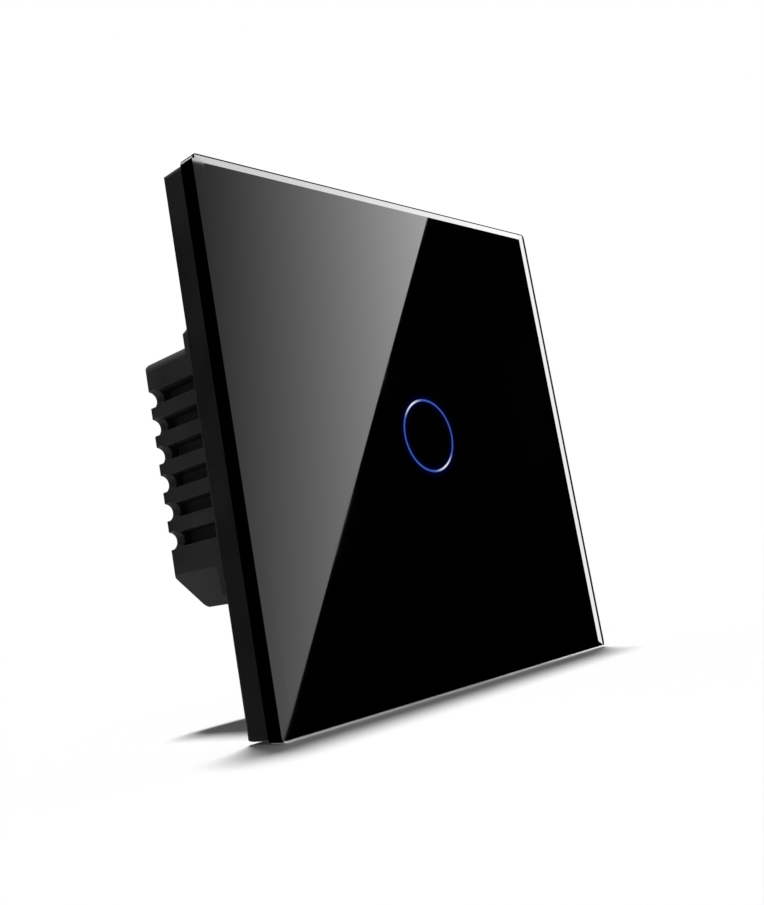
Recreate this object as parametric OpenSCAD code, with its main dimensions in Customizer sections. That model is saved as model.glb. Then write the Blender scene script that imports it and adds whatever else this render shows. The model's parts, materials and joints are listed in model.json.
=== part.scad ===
// Touch light switch for a flush wall box: glass panel on a pull-off frame, steel mounting plate,
// touch board behind the glass, and a two-part housing with a ribbed rear block.
// Millimetres. X runs right and Z up along the wall, Y runs into the wall.
// The origin is the centre of the mounting plate on the wall's surface.

/* [Glass panel] */
// Side of the square glass
panel_w = 80; // [76:0.5:90]
// Thickness of the glass
glass_t = 2.8; // [2:0.1:4]
// Width of the polished facet along the top and bottom
bevel_w = 1.2; // [0.4:0.1:2.5]
// Width of the polished facet along the two sides
bevel_side_w = 2; // [0.4:0.1:2.5]
// How far the facets drop at the glass's edge
bevel_drop = 0.1; // [0.05:0.05:0.6]
// Corner radius of the glass
glass_corner_r = 0.8; // [0.3:0.1:3]
// Diameter of the lit ring, at the middle of its line
ring_d = 11.7; // [10.6:0.1:13]
// Width of the ring's line
ring_line = 0.3; // [0.2:0.05:1]
// Depth of the ring in the glass
ring_depth = 0.3; // [0.2:0.05:0.6]

/* [Panel frame] */
// Depth of the frame, from the glass to its rear edge
frame_depth = 4.8; // [4:0.1:6]
// How far the frame stays inside the glass's outline
frame_inset = 0.25; // [0.1:0.05:0.6]
// Thickness of the frame's rim
frame_wall = 2; // [1.5:0.1:2.6]
// Thickness of the web that carries the glass
frame_web = 1.2; // [0.8:0.1:1.4]
// Radius of the frame's rear edges
frame_round = 0.8; // [0.5:0.1:1.4]
// Corner radius of the frame
frame_corner_r = 1; // [0.4:0.1:3]
// Thickness of the adhesive under the glass
tape_t = 0.2; // [0.1:0.05:0.4]
// Width of the adhesive's band
tape_band = 5; // [3:0.5:6]
// Distance from the frame's outline to the adhesive
tape_inset = 1.5; // [1:0.1:2.5]
// Width of a guide post behind the web
post_w = 6; // [4:0.5:9]
// Thickness of a guide post
post_t = 1.5; // [1:0.1:2]
// Distance of the guide posts from the middle
post_x = 18; // [12:1:22]

/* [Mounting plate] */
// Thickness of the plate
plate_t = 1; // [0.8:0.1:1.2]
// Corner radius of the plate
plate_corner_r = 4; // [1:0.5:8]
// Side of the plate's window
plate_window = 36; // [35:0.5:37]
// Distance between the two wall box screws
box_screw_gap = 60; // [59:0.5:61]
// Width of a wall box screw's slot
slot_w = 3.8; // [3.4:0.1:4.6]
// Length of the slot, end to end
slot_len = 8; // [6:0.5:9]
// Distance of the small plate screws from the middle, both ways
plate_screw_at = 20.3; // [20.2:0.05:20.8]
// Thread diameter of the plate screws
plate_screw_d = 2.5; // [2:0.1:2.8]
// Head diameter of the plate screws
plate_head_d = 4.2; // [3.6:0.1:4.4]
// Head height of the plate screws
plate_head_h = 1.2; // [0.8:0.1:1.4]
// Length of the plate screws under the head
plate_screw_len = 6; // [4:0.5:7]

/* [Touch module] */
// Side of the square touch cover
cover_w = 50; // [49.2:0.2:51]
// Thickness of the cover's front
cover_skin = 0.8; // [0.6:0.05:1]
// Thickness of the cover's side walls
cover_wall = 1.2; // [0.8:0.1:1.4]
// Corner radius of the cover
cover_corner_r = 2; // [1:0.5:4]
// Outer diameter of the light guide
guide_d = 14.2; // [13:0.2:18]
// Inner diameter of the light guide
guide_hole_d = 9.4; // [9:0.1:10]
// Diameter of the touch pad
pad_d = 8.4; // [6:0.2:8.6]
// Side of the touch board
touch_board_w = 44; // [43:0.5:46]
// Corner cut of the touch board
touch_board_cut = 7.2; // [7:0.1:9]
// Thickness of the touch board
touch_board_t = 1; // [0.8:0.1:1]
// Thickness of the insulation sheet
sheet_t = 0.3; // [0.2:0.05:0.4]
// Length of an indicator LED
led_l = 1.6; // [1.2:0.1:2]
// Width of an indicator LED
led_w = 0.8; // [0.6:0.1:1.2]
// Height of an indicator LED
led_h = 0.6; // [0.4:0.05:0.7]
// Side of the touch chip
chip_w = 5; // [4:0.5:7]
// Height of the touch chip
chip_h = 0.9; // [0.6:0.1:1.2]

/* [Housing] */
// Depth of the module behind the wall's surface
module_depth = 31.4; // [31:0.2:38]
// Side of the square base
base_w = 49.2; // [48.6:0.2:51]
// Cut of the base's upper corners
base_cut = 1.2; // [1:0.1:3]
// Cut of the base's lower corners
base_low_cut = 5; // [3:0.1:5.4]
// Depth of the base behind the wall's surface
base_depth = 19.5; // [19:0.1:20]
// Thickness of the housing's walls
housing_wall = 1.8; // [1.5:0.1:2]
// Thickness of the front housing's front wall
front_wall = 1.6; // [1.2:0.1:2.4]
// Thickness of the rear housing's flange
flange_t = 1.6; // [1.2:0.1:2.4]
// Thickness of the rear wall
rear_wall = 1.6; // [1.2:0.1:2]
// Length of the spigot that centres the rear housing
spigot_len = 1.2; // [0.8:0.1:2]
// Height of the ribbed block
block_h = 42.6; // [42.2:0.2:44]
// How far the block sits above the middle
block_rise = 0.5; // [0:0.1:1]
// Cut of the block's two lower edges
block_cut = 6; // [4:0.2:6.6]
// Radius of the block's two upper edges
block_top_r = 2.2; // [0.8:0.1:3]
// Radius of the block's rear edges
rear_round = 0.8; // [0.4:0.1:1.5]
// Distance of the upper housing screws from the middle
screw_top_x = 17; // [16.6:0.1:17.4]
// Height of the upper housing screws
screw_top_z = 17.2; // [17:0.1:17.4]
// Distance of the lower housing screws from the middle
screw_low_x = 16.4; // [16:0.1:16.6]
// Height of the lower housing screws
screw_low_z = -15.4; // [-15.6:0.1:-15]
// Thread diameter of the housing screws
housing_screw_d = 2.5; // [2:0.1:2.8]
// Head diameter of the housing screws
housing_head_d = 4.4; // [3.8:0.1:4.6]
// Head height of the housing screws
housing_head_h = 1.6; // [1.2:0.1:2]
// Distance from the front wall to the housing screws' tips
screw_tip_room = 2.6; // [1:0.1:4]
// Depth of the screw wells in the rear face
screw_well = 8; // [7:0.5:9]
// Outer diameter of the screw columns
column_d = 5.8; // [5.6:0.1:6]

/* [Ribs] */
// Number of grooves on each side
groove_count = 6; // [3:1:6]
// Distance from groove to groove
groove_pitch = 4.85; // [4:0.05:5]
// Distance from the block's top to the middle of the first groove
groove_drop = 6.6; // [6.2:0.05:7.4]
// Width of a groove
groove_w = 2.5; // [1.8:0.1:2.9]
// Depth of a groove
groove_depth = 3.4; // [2.4:0.1:3.6]
// Wall left behind the grooves
groove_skin = 1.6; // [1:0.1:1.7]
// Radius in the corners of a groove's floor
groove_r = 0.4; // [0.2:0.05:0.8]
// Web left between the grooves and the front housing
groove_web = 0.6; // [0.4:0.1:0.9]
// Thickness of the rear lip that ends the grooves
lip_t = 2.1; // [1.2:0.1:2.8]
// Width of the round notches in the lip
notch_w = 3; // [2.6:0.1:3.4]
// Depth of the round notches
notch_depth = 1.8; // [1.6:0.1:2.4]

/* [Terminals] */
// Distance of the terminals from the middle
terminal_x = 7.5; // [7:0.1:8]
// Outer width of a clamp
clamp_w = 7; // [6:0.1:7.2]
// Length of a clamp along the wire
clamp_len = 6; // [5:0.1:6.4]
// Thickness of a clamp's walls
clamp_wall = 1; // [0.8:0.1:1.2]
// Thickness of a clamp's threaded wall
clamp_nut = 1.4; // [1.2:0.1:2]
// Travel of a clamp
clamp_travel = 1.8; // [1:0.1:2.2]
// Opening for the wire in a clamp
wire_room = 3.8; // [3.6:0.1:4.2]
// Diameter of a wire port
wire_port_d = 3.5; // [3:0.1:3.6]
// Thickness of a busbar
busbar_t = 0.8; // [0.6:0.1:1]
// Width of a busbar in its clamp
busbar_w = 4.4; // [3:0.1:4.4]
// Width of a busbar's leg
busbar_leg_w = 3; // [2:0.1:3.6]
// Thread diameter of a terminal screw
terminal_screw_d = 3.5; // [3:0.1:4]
// Head diameter of a terminal screw
terminal_head_d = 5.6; // [5:0.1:6.2]
// Head height of a terminal screw
terminal_head_h = 1.6; // [1.4:0.1:2]
// Diameter of the driver's hole behind a terminal screw
driver_hole_d = 4.4; // [4:0.1:4.6]

/* [Boards and parts] */
// Distance from the wall's surface to the power board
power_board_y = 8; // [7:0.1:8]
// Thickness of the power board
power_board_t = 1.6; // [1:0.1:1.6]
// Number of pins between the boards
pin_count = 6; // [4:1:6]
// Distance from pin to pin
pin_pitch = 2.54; // [2:0.02:2.54]
// Side of a pin
pin_w = 0.64; // [0.4:0.02:0.7]
// Height of the pin row
pin_row_z = -16; // [-16.4:0.1:-15.6]
// Width of the strip that holds the pins
strip_w = 2.5; // [2:0.1:2.6]
// Relay's width
relay_w = 20; // [19:0.2:21]
// Relay's height along the wall
relay_d = 14; // [13.4:0.2:14.4]
// Relay's depth behind the board
relay_h = 15.4; // [15:0.2:18]
// Relay's distance from the board's middle, to the right
relay_x = -5; // [-5.4:0.1:-4.9]
// Relay's height above the board's middle
relay_z = 7; // [6.8:0.1:7.2]
// Thickness of the relay's cover
relay_skin = 0.6; // [0.4:0.05:0.7]
// Film capacitor's width
film_w = 8.5; // [7:0.5:9]
// Film capacitor's depth behind the board
film_t = 14; // [10:0.5:16]
// Film capacitor's height along the wall
film_h = 15; // [12:0.5:15.5]
// Filter capacitor's diameter
filter_d = 8; // [6.3:0.1:8.4]
// Filter capacitor's length
filter_len = 12; // [9:0.5:16]
// Varistor's diameter
varistor_d = 7; // [5:0.5:8]
// Varistor's thickness
varistor_t = 3.6; // [3:0.1:4]
// Fuse's diameter
fuse_d = 4.2; // [3:0.1:4.4]
// Fuse's length
fuse_len = 9; // [7:0.5:9.5]
// Rectifier's width
rectifier_w = 4.8; // [4:0.1:5]
// Rectifier's depth behind the board
rectifier_t = 2.5; // [1.5:0.1:3]
// Rectifier's height along the wall
rectifier_h = 4; // [3:0.1:4.2]
// Choke's diameter
choke_d = 6.2; // [5:0.1:6.4]
// Choke's length
choke_len = 7; // [5:0.5:9]
// Power chip's width
power_chip_w = 5; // [4:0.1:6]
// Power chip's depth in front of the board
power_chip_t = 1.5; // [1:0.1:2]
// Power chip's height along the wall
power_chip_h = 4; // [3:0.1:5]

/* [Clearances] */
// Gap between the frame and the wall
wall_gap = 0.2; // [0.1:0.05:0.5]
// Gap between the glass and the touch cover
cover_gap = 0.1; // [0.05:0.05:0.2]
// Gap between the plate and the frame's rim
plate_gap = 2.25; // [1.5:0.05:3]
// Gap between the cover and the frame's window
window_gap = 2; // [1.4:0.1:2.4]
// Gap beside a part that sits in a hole or pocket
seat_gap = 0.1; // [0.05:0.01:0.15]
// Gap round the ring in the glass
ring_gap = 0.02; // [0.01:0.005:0.05]
// Gap between the relay's coil and its yoke
coil_gap = 0.4; // [0.2:0.05:0.6]
// Gap between a moving part and its guide
slide_gap = 0.25; // [0.2:0.01:0.3]
// Radial gap of a screw in its thread or hole
thread_gap = 0.05; // [0.02:0.01:0.08]

/* [Hidden] */
$fn = 64;
eps = 0.5;

// Levels along Y, from the glass to the rear face
frame_back_y = -wall_gap;
glass_back_y = frame_back_y - frame_depth;
glass_front_y = glass_back_y - glass_t;
web_back_y = glass_back_y + frame_web;
rear_y = module_depth;
plate_front_y = -plate_t;
cover_front_y = glass_back_y + cover_gap;
skin_back_y = cover_front_y + cover_skin;
sheet_front_y = plate_front_y - sheet_t;
touch_board_front_y = sheet_front_y - touch_board_t;
led_front_y = touch_board_front_y - led_h;
led_clear = 0.05;
guide_back_y = led_front_y - led_clear;
flange_front_y = base_depth - flange_t;
groove_front_y = flange_front_y + groove_web;
power_board_back_y = power_board_y + power_board_t;
rear_wall_y = rear_y - rear_wall;

// Panel frame
frame_w = panel_w - 2 * frame_inset;
frame_in_w = frame_w - 2 * frame_wall;
window_w = cover_w + 2 * window_gap;
screw_room_margin = 1;
screw_room_w = box_screw_gap + slot_len + 2 * screw_room_margin;
screw_room_h = 11;
plate_w = frame_in_w - 2 * plate_gap;
post_z = plate_w / 2 - post_t / 2 - slide_gap;

// Mounting plate and touch module
plate_window_r = 2;
stake_d = 1.8;
stake_bite = 0.2;
stake_at = cover_w / 2 - cover_wall - stake_d / 2 + stake_bite;
rest_d = 2.4;
rest_shift = 2;
rest_at = touch_board_w / 2 - touch_board_cut + rest_shift;
guide_foot_d = 0.8;
led_ring_r = ring_d / 2;
sheet_margin = 0.5;

// Housing
cavity_w = base_w - 2 * housing_wall;
block_w = base_w;
block_top_z = block_rise + block_h / 2;
block_low_z = block_rise - block_h / 2;
rear_in_w = block_w - 2 * (groove_depth + groove_skin);
rear_in_top = block_top_z - housing_wall;
rear_in_low = block_low_z + housing_wall;
rear_in_cut = block_cut - (block_w - rear_in_w) / 2 + housing_wall * (sqrt(2) - 1);
spigot_wall = 1;
spigot_in_w = cavity_w - 2 * seat_gap - 2 * spigot_wall;
boss_d = 4.8;
boss_len = 7.5;
pilot_extra = 0.5;
screw_spots = [
    [-screw_top_x, screw_top_z], [screw_top_x, screw_top_z],
    [-screw_low_x, screw_low_z], [screw_low_x, screw_low_z]
];
plate_spots = [for (sx = [-1, 1], sz = [-1, 1]) [sx * plate_screw_at, sz * plate_screw_at]];
head_seat_y = rear_y - screw_well;
housing_screw_len = head_seat_y - front_wall - screw_tip_room;
recess_w = 0.7;
recess_depth = 0.7;
recess_share = 0.6;

// Terminals, worked forwards from the rear wall
head_gap = 0.1;
nut_gap = 0.2;
tip_gap = 0.05;
port_gap = 0.7;
terminal_z = rear_in_low + port_gap + clamp_len / 2;
head_back_y = rear_wall_y - head_gap;
head_front_y = head_back_y - terminal_head_h;
nut_back_y = head_front_y - nut_gap - clamp_travel;
nut_front_y = nut_back_y - clamp_nut;
bar_back_y = nut_front_y - nut_gap;
bar_front_y = bar_back_y - busbar_t;
clamp_in_y = bar_front_y - wire_room;
clamp_front_y = clamp_in_y - clamp_wall;
wire_y = bar_front_y - wire_room / 2;
leg_low_z = terminal_z + clamp_len / 2 + port_gap;
leg_stub = 0.6;
leg_front_y = power_board_y - leg_stub;
guide_rib_t = 1;
guide_rib_x = clamp_w / 2 + slide_gap + guide_rib_t / 2;
driver_slot_w = 0.8;
driver_slot_depth = 0.8;

// Pins between the boards
strip_len = pin_count * pin_pitch;
strip_gap = 2;
strip_room = 0.8;
pin_stub = 1;
pin_tip_gap = 0.7;
pin_front_y = sheet_front_y + pin_tip_gap;
pin_back_y = power_board_back_y + pin_stub;
strip_front_y = power_board_y - strip_w;
socket_back_y = strip_front_y - strip_gap;
pin_spots = [for (i = [0 : pin_count - 1]) (i - (pin_count - 1) / 2) * pin_pitch];
strip_hole_w = strip_len + 2 * strip_room;
strip_hole_h = strip_w + 2 * strip_room;

// Relay, from its own base upwards
relay_base_t = 1.4;
yoke_t = 1;
yoke_h = 10;
yoke_share = 0.32;
yoke_x = yoke_share * relay_w;
coil_room = 2;
bobbin_d = min(relay_d - 2 * coil_room, 2 * (yoke_x - yoke_t - coil_gap));
bobbin_wall = 0.7;
yoke_d = bobbin_d;
core_share = 0.38;
core_d = core_share * bobbin_d;
pole_share = 0.6;
pole_d = pole_share * bobbin_d;
pole_t = 0.6;
winding_step = 0.3;
armature_t = 1;
armature_gap = 0.7;
armature_rest = 0.2;
blade_t = 0.4;
contact_d = 2;
contact_h = 0.6;
contact_gap = 1;
contact_inset = 2;
contact_x = -relay_w / 2 + contact_inset;
relay_y0 = power_board_back_y;
yoke_y = relay_y0 + relay_base_t;
coil_y = yoke_y + yoke_t;
yoke_top_y = coil_y + yoke_h - yoke_t;
pole_y = yoke_top_y + armature_rest - armature_gap;
armature_y = yoke_top_y + armature_rest;
blade_y = armature_y + armature_t;
moving_contact_y = blade_y - contact_h;
fixed_contact_y = moving_contact_y - contact_gap;

// Places of the other parts on the power board
film_at = [11.3, 5.5];
filter_at = [-14, -5];
varistor_at = [-4.4, -5];
fuse_at = [5.4, -6.2];
rectifier_at = [0, -11.2];
choke_at = [15.4, -6.6];
power_chip_at = [6, 6];
varistor_lead = 1.5;
lead_d = 0.8;
film_corner_r = 1;
filter_neck_y = 1.2;
filter_neck_w = 0.6;
filter_neck_depth = 0.3;
fuse_lead_in = 1;
choke_rim = 1.2;
choke_waist = 0.6;

black_plastic = "#1b1b1d";
board_green = "#1d5a34";
steel = "#a9adb0";
copper = "#b5713a";

// Extrusions along the three axes. A flat shape is drawn as X-Z, Y-Z or X-Y.
module along_y(y0, y1) translate([0, y1, 0]) rotate([90, 0, 0]) linear_extrude(y1 - y0) children();
module along_x(x0, x1) translate([x0, 0, 0]) rotate([90, 0, 90]) linear_extrude(x1 - x0) children();
module along_z(z0, z1) translate([0, 0, z0]) linear_extrude(z1 - z0) children();

// A round bar along Y, at a spot given as X and Z
module rod_y(d, y0, y1, at = [0, 0])
    translate([at[0], y1, at[1]]) rotate([90, 0, 0]) cylinder(d = d, h = y1 - y0);

// A box between two corners
module block(low, high) translate(low) cube(high - low);

// A rectangle with four round corners
module round_rect(w, h, r) {
    square([w - 2 * r, h], center = true);
    square([w, h - 2 * r], center = true);
    for (sx = [-1, 1], sy = [-1, 1])
        translate([sx * (w / 2 - r), sy * (h / 2 - r)]) circle(r);
}

// A square with four cut corners, c above and low_c below
module cut_square(w, c, low_c) {
    h = w / 2;
    polygon([
        [-h + low_c, -h], [h - low_c, -h], [h, -h + low_c], [h, h - c],
        [h - c, h], [-h + c, h], [-h, h - c], [-h, -h + low_c]
    ]);
}

// A slot with round ends, along the first axis
module slot(len, w) {
    square([len - w, w], center = true);
    for (s = [-1, 1]) translate([s * (len - w) / 2, 0]) circle(d = w);
}

// A strip from y0 to y1 whose two corners at y1 are round, drawn as width and depth
module round_ended(w, y0, y1, r) {
    translate([-w / 2, y0]) square([w, y1 - y0 - r]);
    translate([-w / 2 + r, y0]) square([w - 2 * r, y1 - y0]);
    for (s = [-1, 1]) translate([s * (w / 2 - r), y1 - r]) circle(r);
}

// The same strip drawn as depth and height, raised by rise
module round_ended_side(h, y0, y1, r, rise = 0)
    translate([0, rise]) mirror([1, -1]) round_ended(h, y0, y1, r);

// A pan head screw along Y. The head lies at seat_y, on the side that away points to.
module pan_screw(d, head_d, head_h, len, seat_y, away) {
    tip_y = seat_y - away * len;
    top_y = seat_y + away * head_h;
    recess_y = top_y - away * recess_depth;
    arm = head_d * recess_share;
    difference() {
        union() {
            rod_y(d, min(seat_y, tip_y), max(seat_y, tip_y));
            rod_y(head_d, min(seat_y, top_y), max(seat_y, top_y));
        }
        along_y(min(recess_y, top_y + away * eps), max(recess_y, top_y + away * eps)) {
            square([arm, recess_w], center = true);
            square([recess_w, arm], center = true);
        }
    }
}

// Glass panel: polished facets on all four front edges, and the ring's groove
module glass_outline(facet_w) {
    h = panel_w / 2;
    polygon([
        [-h, glass_back_y], [-h, glass_front_y + bevel_drop], [-h + facet_w, glass_front_y],
        [h - facet_w, glass_front_y], [h, glass_front_y + bevel_drop], [h, glass_back_y]
    ]);
}

module glass_panel() color("#060607") difference() {
    intersection() {
        along_y(glass_front_y, glass_back_y) round_rect(panel_w, panel_w, glass_corner_r);
        along_z(-panel_w / 2, panel_w / 2) glass_outline(bevel_side_w);
        along_x(-panel_w / 2, panel_w / 2) mirror([1, -1]) glass_outline(bevel_w);
    }
    difference() {
        rod_y(ring_d + ring_line + 2 * ring_gap, glass_front_y - eps, glass_front_y + ring_depth);
        rod_y(ring_d - ring_line - 2 * ring_gap, glass_front_y - 2 * eps, glass_front_y + ring_depth + eps);
    }
}

module ring_window() color("#3f6fe8") difference() {
    rod_y(ring_d + ring_line, glass_front_y, glass_front_y + ring_depth);
    rod_y(ring_d - ring_line, glass_front_y - eps, glass_front_y + ring_depth + eps);
}

// Band of adhesive in a pocket of the frame's web
module tape_outline(gap) {
    outer = frame_w - 2 * tape_inset + 2 * gap;
    inner = frame_w - 2 * (tape_inset + tape_band) - 2 * gap;
    difference() {
        square(outer, center = true);
        square(inner, center = true);
    }
}

module panel_adhesive() color("#2a2a2c") along_y(glass_back_y, glass_back_y + tape_t) tape_outline(0);

// Panel frame: rim with round rear edges, web under the glass, guide posts behind the web
module panel_frame() color(black_plastic) difference() {
    union() {
        difference() {
            intersection() {
                along_y(glass_back_y, frame_back_y) round_rect(frame_w, frame_w, frame_corner_r);
                along_z(-frame_w / 2, frame_w / 2)
                    round_ended(frame_w, glass_back_y, frame_back_y, frame_round);
                along_x(-frame_w / 2, frame_w / 2)
                    round_ended_side(frame_w, glass_back_y, frame_back_y, frame_round);
            }
            along_y(web_back_y, frame_back_y + eps) square(frame_in_w, center = true);
        }
        for (sx = [-1, 1], sz = [-1, 1])
            translate([sx * post_x, 0, sz * post_z])
                block([-post_w / 2, web_back_y - eps, -post_t / 2], [post_w / 2, frame_back_y, post_t / 2]);
    }
    along_y(glass_back_y - eps, web_back_y + eps) square(window_w, center = true);
    along_y(glass_back_y - eps, web_back_y + eps) square([screw_room_w, screw_room_h], center = true);
    along_y(glass_back_y - eps, glass_back_y + tape_t) tape_outline(seat_gap);
}

// Mounting plate: slots for the wall box screws, notches for the guide posts, holes for cover and screws
module mounting_plate() color(steel) along_y(plate_front_y, 0) difference() {
    round_rect(plate_w, plate_w, plate_corner_r);
    round_rect(plate_window, plate_window, plate_window_r);
    for (s = [-1, 1]) translate([s * box_screw_gap / 2, 0]) slot(slot_len, slot_w);
    for (sx = [-1, 1], sz = [-1, 1]) translate([sx * post_x, sz * plate_w / 2])
        square([post_w + 2 * slide_gap, 2 * (post_t + 2 * slide_gap)], center = true);
    for (p = plate_spots) translate(p) circle(d = plate_screw_d + 2 * seat_gap);
    for (s = [-1, 1]) translate([0, s * stake_at]) circle(d = stake_d + 2 * seat_gap);
}

module plate_screws() color(steel) for (p = plate_spots) translate([p[0], 0, p[1]])
    pan_screw(plate_screw_d, plate_head_d, plate_head_h, plate_screw_len + plate_t, plate_front_y, -1);

// Touch cover: shallow tray behind the glass, with rests for the board and stakes in the plate
module touch_cover() color(black_plastic) difference() {
    union() {
        difference() {
            along_y(cover_front_y, plate_front_y) round_rect(cover_w, cover_w, cover_corner_r);
            along_y(skin_back_y, plate_front_y + eps)
                round_rect(cover_w - 2 * cover_wall, cover_w - 2 * cover_wall, cover_corner_r / 2);
        }
        for (sx = [-1, 1], sz = [-1, 1])
            rod_y(rest_d, skin_back_y - cover_skin / 2, touch_board_front_y, [sx * rest_at, sz * rest_at]);
        for (s = [-1, 1]) rod_y(stake_d, skin_back_y - cover_skin / 2, -seat_gap, [0, s * stake_at]);
    }
    rod_y(guide_d + 2 * seat_gap, cover_front_y - eps, skin_back_y + eps);
}

// Light guide: a clear ring that stands on the board on four small feet
module light_guide() color("#e9eef2") {
    difference() {
        rod_y(guide_d, cover_front_y, guide_back_y);
        rod_y(guide_hole_d, cover_front_y - eps, guide_back_y + eps);
    }
    for (a = [0 : 90 : 270])
        rod_y(guide_foot_d, guide_back_y - eps, touch_board_front_y, led_ring_r * [cos(a), sin(a)]);
}

module touch_pad() color("#55585c") rod_y(pad_d, cover_front_y, touch_board_front_y);

module indicator_leds() color("#d8e4ff") for (a = [45 : 90 : 315]) rotate([0, a, 0])
    translate([led_ring_r, 0, 0])
        block([-led_w / 2, led_front_y, -led_l / 2], [led_w / 2, touch_board_front_y, led_l / 2]);

module touch_board() color(board_green) along_y(touch_board_front_y, sheet_front_y)
    cut_square(touch_board_w, touch_board_cut, touch_board_cut);

module touch_chip() color("#26282b")
    block([-chip_w / 2, sheet_front_y, -chip_w / 2], [chip_w / 2, sheet_front_y + chip_h, chip_w / 2]);

// Insulation sheet: a band between the touch board and the plate, open where the plate's window is
module insulation_sheet() color("#c9b48a") along_y(sheet_front_y, plate_front_y) difference() {
    cut_square(touch_board_w - 2 * sheet_margin, touch_board_cut, touch_board_cut);
    cut_square(plate_window, touch_board_cut, touch_board_cut);
}

// Pin row between the touch board and the power board
module pin_row(w) for (x = pin_spots) translate([x, pin_row_z]) square(w, center = true);

module board_socket() color("#232326") along_y(sheet_front_y, socket_back_y) difference() {
    translate([0, pin_row_z]) square([strip_len, strip_w], center = true);
    pin_row(pin_w + 2 * seat_gap);
}

module board_header() color("#232326") along_y(strip_front_y, power_board_y) difference() {
    translate([0, pin_row_z]) square([strip_len, strip_w], center = true);
    pin_row(pin_w + 2 * seat_gap);
}

module header_pins() color("#c9a646") along_y(pin_front_y, pin_back_y) pin_row(pin_w);

// Outline of the base, with larger cuts at the lower corners
module base_outline(w) cut_square(w, base_cut, base_low_cut);

// Front housing: an open box behind the plate, with bosses for plate, board and rear housing
module front_housing() color(black_plastic) difference() {
    union() {
        difference() {
            along_y(0, flange_front_y) base_outline(base_w);
            along_y(front_wall, flange_front_y + eps) base_outline(cavity_w);
        }
        intersection() {
            for (p = plate_spots) rod_y(boss_d, front_wall / 2, boss_len, p);
            along_y(0, boss_len) base_outline(base_w - housing_wall);
        }
        for (p = screw_spots) rod_y(column_d, front_wall / 2, power_board_y, p);
    }
    for (p = plate_spots) rod_y(plate_screw_d + 2 * thread_gap, -eps, plate_screw_len + pilot_extra, p);
    for (p = screw_spots) rod_y(housing_screw_d + 2 * thread_gap, front_wall, power_board_y + eps, p);
    along_y(-eps, front_wall + eps) translate([0, pin_row_z])
        square([strip_hole_w, strip_hole_h], center = true);
}

// Outline of the rear block: two round upper edges and two cut lower edges
module block_outline() {
    h = block_w / 2;
    r = block_top_r;
    polygon([
        [-h, block_low_z + block_cut], [-h + block_cut, block_low_z], [h - block_cut, block_low_z],
        [h, block_low_z + block_cut], [h, block_top_z - r], [-h, block_top_z - r]
    ]);
    translate([-h + r, block_top_z - 2 * r]) square([block_w - 2 * r, 2 * r]);
    for (s = [-1, 1]) translate([s * (h - r), block_top_z - r]) circle(r);
}

module rear_cavity_outline() {
    h = rear_in_w / 2;
    polygon([
        [-h, rear_in_low + rear_in_cut], [-h + rear_in_cut, rear_in_low], [h - rear_in_cut, rear_in_low],
        [h, rear_in_low + rear_in_cut], [h, rear_in_top], [-h, rear_in_top]
    ]);
}

// One groove of the left side, at height 0: a deep channel up to the lip, and a round notch in the lip
module groove() {
    side_x = -block_w / 2;
    outer_x = side_x - eps;
    floor_x = side_x + groove_depth;
    notch_x = side_x + notch_depth - notch_w / 2;
    lip_y = rear_y - lip_t;
    along_y(groove_front_y, lip_y) {
        translate([outer_x, -groove_w / 2]) square([floor_x - groove_r - outer_x, groove_w]);
        translate([outer_x, -groove_w / 2 + groove_r]) square([floor_x - outer_x, groove_w - 2 * groove_r]);
        for (s = [-1, 1]) translate([floor_x - groove_r, s * (groove_w / 2 - groove_r)]) circle(groove_r);
    }
    along_y(lip_y, rear_y + eps) {
        translate([outer_x, -notch_w / 2]) square([notch_x - outer_x, notch_w]);
        translate([notch_x, 0]) circle(d = notch_w);
    }
}

module grooves() for (i = [0 : groove_count - 1])
    translate([0, 0, block_top_z - groove_drop - i * groove_pitch]) groove();

// Rear housing: flange and spigot on the front housing, ribbed block, screw columns, clamp guides
module rear_housing() color(black_plastic) difference() {
    union() {
        difference() {
            union() {
                along_y(flange_front_y, base_depth) base_outline(base_w);
                intersection() {
                    along_y(base_depth - flange_t / 2, rear_y) block_outline();
                    along_z(block_low_z, block_top_z)
                        round_ended(block_w, base_depth - flange_t / 2, rear_y, rear_round);
                    along_x(-block_w / 2, block_w / 2)
                        round_ended_side(block_h, base_depth - flange_t / 2, rear_y, rear_round, block_rise);
                }
                along_y(flange_front_y - spigot_len, flange_front_y + flange_t / 2)
                    base_outline(cavity_w - 2 * seat_gap);
            }
            along_y(flange_front_y - spigot_len - eps, flange_front_y)
                base_outline(spigot_in_w);
            along_y(flange_front_y - eps, rear_wall_y) rear_cavity_outline();
            grooves();
            mirror([1, 0, 0]) grooves();
        }
        for (p = screw_spots) rod_y(column_d, power_board_back_y, rear_wall_y + rear_wall / 2, p);
        for (st = [-1, 1], sr = [-1, 1])
            translate([st * terminal_x + sr * guide_rib_x, 0, 0])
                block([-guide_rib_t / 2, clamp_front_y, rear_in_low - housing_wall / 2],
                      [guide_rib_t / 2, rear_wall_y + rear_wall / 2, terminal_z + clamp_len / 2]);
    }
    for (p = screw_spots) {
        rod_y(housing_screw_d + 2 * seat_gap, power_board_back_y - eps, rear_y, p);
        rod_y(housing_head_d + 2 * seat_gap, head_seat_y, rear_y + eps, p);
    }
    for (s = [-1, 1]) {
        rod_y(driver_hole_d, rear_wall_y - eps, rear_y + eps, [s * terminal_x, terminal_z]);
        translate([s * terminal_x, wire_y, block_low_z - eps])
            cylinder(d = wire_port_d, h = housing_wall + 2 * eps);
    }
}

module housing_screws() color(steel) for (p = screw_spots) translate([p[0], 0, p[1]])
    pan_screw(housing_screw_d, housing_head_d, housing_head_h, housing_screw_len, head_seat_y, 1);

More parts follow.
